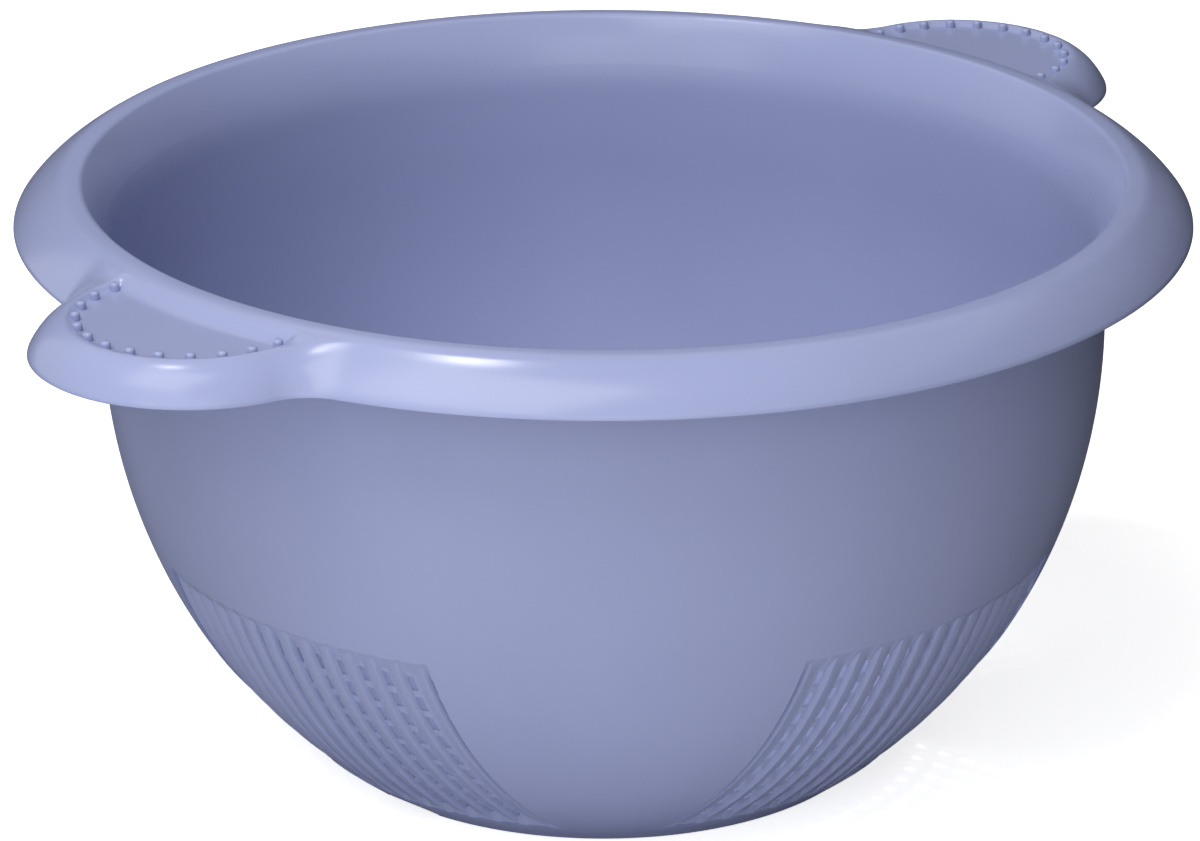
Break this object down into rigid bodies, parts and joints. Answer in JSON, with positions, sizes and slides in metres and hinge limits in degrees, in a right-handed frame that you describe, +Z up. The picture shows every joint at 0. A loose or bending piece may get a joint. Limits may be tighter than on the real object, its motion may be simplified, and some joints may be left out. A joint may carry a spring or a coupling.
{
  "type": "colander",
  "caption": "Deep moulded plastic colander with slotted drain panels, a sloping rim, two ear handles with grip studs and a foot ring.",
  "frame": {"origin": "centre of the bounding box's bottom face, on the ground under the bowl's centre", "axes": "+Z up, X through both ear handles, Y across the bowl"},
  "size_m": [0.339, 0.28, 0.1448],
  "materials": {
    "moulded_plastic": "satin gloss, lavender blue, solid colour"
  },
  "bodies": {
    "root": {"upper_wall": "moulded_plastic", "bowl_floor": "moulded_plastic", "foot_ring": "moulded_plastic", "drain_panel_right": "moulded_plastic", "drain_panel_back": "moulded_plastic", "drain_panel_left": "moulded_plastic", "drain_panel_front": "moulded_plastic", "plain_panel_back_right": "moulded_plastic", "plain_panel_back_left": "moulded_plastic", "plain_panel_front_left": "moulded_plastic", "plain_panel_front_right": "moulded_plastic", "handle_left": "moulded_plastic", "handle_right": "moulded_plastic", "grip_studs_left": "moulded_plastic", "grip_studs_right": "moulded_plastic", "rim_front": "moulded_plastic", "rim_back": "moulded_plastic"}
  },
  "joints": []
}
